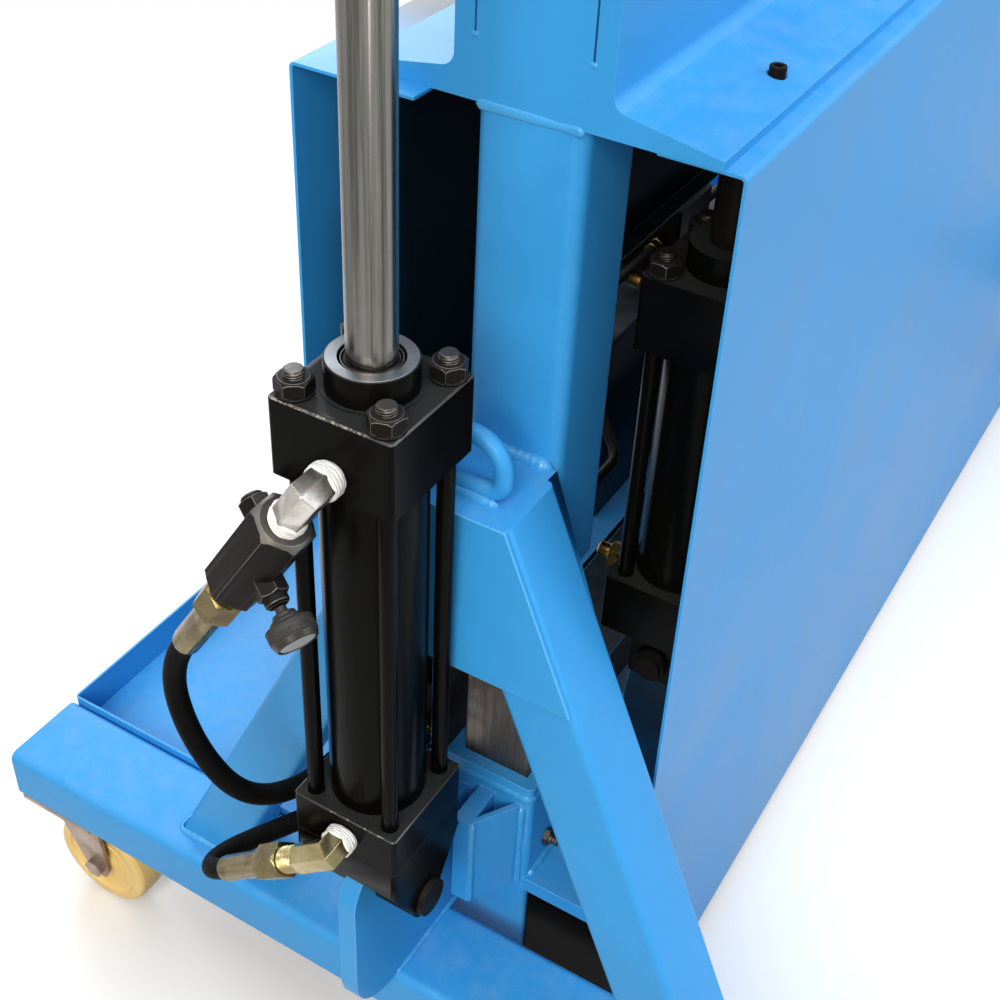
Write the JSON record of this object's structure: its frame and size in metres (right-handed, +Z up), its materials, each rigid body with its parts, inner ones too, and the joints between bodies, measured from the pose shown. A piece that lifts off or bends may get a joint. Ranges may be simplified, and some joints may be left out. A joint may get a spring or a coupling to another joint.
{
  "type": "hydraulic press brake",
  "caption": "Blue welded hydraulic press brake on castors: tie-rod cylinders at both ends draw the ram and punch down over a vee die on the bed.",
  "frame": {"origin": "on the floor under the middle of the machine", "axes": "+X along the bed to the operator's right, +Y to the back where the tray is, +Z up"},
  "size_m": [1.7114, 0.84, 1.414],
  "materials": {
    "blue_paint": "satin",
    "machined_steel": "machined",
    "tool_steel": "ground",
    "chromed_steel": "ground and chromed",
    "black_paint": "satin",
    "black_oxide": "blackened",
    "zinc_yellow": "yellow zinc plating",
    "plated_elbow": "plated",
    "brass": "turned",
    "hose_rubber": "matte",
    "nylon": "moulded",
    "grey_enamel": "satin",
    "tank_paint": "satin",
    "valve_steel": "machined",
    "green_plastic": "gloss",
    "red_plastic": "gloss"
  },
  "bodies": {
    "frame": {"back_cover": "blue_paint", "bar_guides": "blue_paint", "base_rails": "blue_paint", "bed_flange": "blue_paint", "bed_top_plate": "machined_steel", "bed_webs": "blue_paint", "castor_plates": "zinc_yellow", "clevis_pins": "black_oxide", "columns": "blue_paint", "control_box": "grey_enamel", "control_valve": "valve_steel", "cover_screws": "black_oxide", "cylinder_barrels": "black_paint", "cylinder_caps": "black_paint", "cylinder_heads": "black_paint", "die": "tool_steel", "drip_tray": "blue_paint", "flow_valves": "black_oxide", "front_cover": "blue_paint", "hose_fittings": "zinc_yellow", "hose_lower_left": "hose_rubber", "hose_lower_right": "hose_rubber", "hose_upper_left": "hose_rubber", "hose_upper_right": "hose_rubber", "inner_blocks": "black_paint", "inner_fittings": "brass", "inner_rods": "machined_steel", "junction_blocks": "valve_steel", "left_a_frame": "blue_paint", "left_anchor": "blue_paint", "oil_tank": "tank_paint", "pump_motor": "grey_enamel", "rear_clevises": "black_paint", "right_a_frame": "blue_paint", "right_anchor": "blue_paint", "rod_glands": "black_paint", "supply_pipes": "plated_elbow", "tie_beam": "blue_paint", "tie_rod_nuts": "black_oxide", "tie_rods": "black_paint", "upper_elbows": "plated_elbow"},
    "ram": {"ram_beam": "blue_paint", "guide_bars": "machined_steel", "piston_rods": "chromed_steel", "rod_nuts": "black_oxide", "punch_holder": "machined_steel", "punch": "tool_steel", "clamp_screws": "black_oxide"},
    "castor_front_left": {"castor_fork_front_left": "zinc_yellow"},
    "wheel_front_left": {"castor_wheel_front_left": "nylon"},
    "castor_front_right": {"castor_fork_front_right": "zinc_yellow"},
    "wheel_front_right": {"castor_wheel_front_right": "nylon"},
    "castor_back_left": {"castor_fork_back_left": "zinc_yellow"},
    "wheel_back_left": {"castor_wheel_back_left": "nylon"},
    "castor_back_right": {"castor_fork_back_right": "zinc_yellow"},
    "wheel_back_right": {"castor_wheel_back_right": "nylon"},
    "knob_left": {"flow_knob_left": "black_oxide"},
    "knob_right": {"flow_knob_right": "black_oxide"},
    "start": {"start_button": "green_plastic"},
    "stop": {"emergency_stop": "red_plastic"}
  },
  "joints": [
    {"name": "ram_slide", "type": "slide", "parent": "frame", "child": "ram", "axis": [0, 0, -1], "range_m": [0, 0.12]},
    {"name": "castor_swivel_front_left", "type": "hinge", "parent": "frame", "child": "castor_front_left", "pos_m": [-0.715, -0.38, 0.121], "axis": [0, 0, 1], "continuous": true},
    {"name": "wheel_spin_front_left", "type": "hinge", "parent": "castor_front_left", "child": "wheel_front_left", "pos_m": [-0.715, -0.358, 0.05], "axis": [1, 0, 0], "continuous": true},
    {"name": "castor_swivel_front_right", "type": "hinge", "parent": "frame", "child": "castor_front_right", "pos_m": [0.715, -0.38, 0.121], "axis": [0, 0, 1], "continuous": true},
    {"name": "wheel_spin_front_right", "type": "hinge", "parent": "castor_front_right", "child": "wheel_front_right", "pos_m": [0.715, -0.358, 0.05], "axis": [1, 0, 0], "continuous": true},
    {"name": "castor_swivel_back_left", "type": "hinge", "parent": "frame", "child": "castor_back_left", "pos_m": [-0.715, 0.38, 0.121], "axis": [0, 0, 1], "continuous": true},
    {"name": "wheel_spin_back_left", "type": "hinge", "parent": "castor_back_left", "child": "wheel_back_left", "pos_m": [-0.715, 0.358, 0.05], "axis": [1, 0, 0], "continuous": true},
    {"name": "castor_swivel_back_right", "type": "hinge", "parent": "frame", "child": "castor_back_right", "pos_m": [0.715, 0.38, 0.121], "axis": [0, 0, 1], "continuous": true},
    {"name": "wheel_spin_back_right", "type": "hinge", "parent": "castor_back_right", "child": "wheel_back_right", "pos_m": [0.715, 0.358, 0.05], "axis": [1, 0, 0], "continuous": true},
    {"name": "flow_knob_turn_left", "type": "hinge", "parent": "frame", "child": "knob_left", "pos_m": [-0.8235, 0.06009, 0.63194], "axis": [-0.358, -0.7918, -0.4948], "range_deg": [-540, 540]},
    {"name": "flow_knob_turn_right", "type": "hinge", "parent": "frame", "child": "knob_right", "pos_m": [0.8235, 0.06009, 0.63194], "axis": [0.358, -0.7918, -0.4948], "range_deg": [-540, 540]},
    {"name": "start_press", "type": "slide", "parent": "frame", "child": "start", "axis": [0, 1, 0], "range_m": [0, 0.003], "stiffness_N_per_m": 600, "springref_m": -0.002},
    {"name": "stop_press", "type": "slide", "parent": "frame", "child": "stop", "axis": [0, 1, 0], "range_m": [0, 0.003], "stiffness_N_per_m": 800, "springref_m": -0.002}
  ]
}
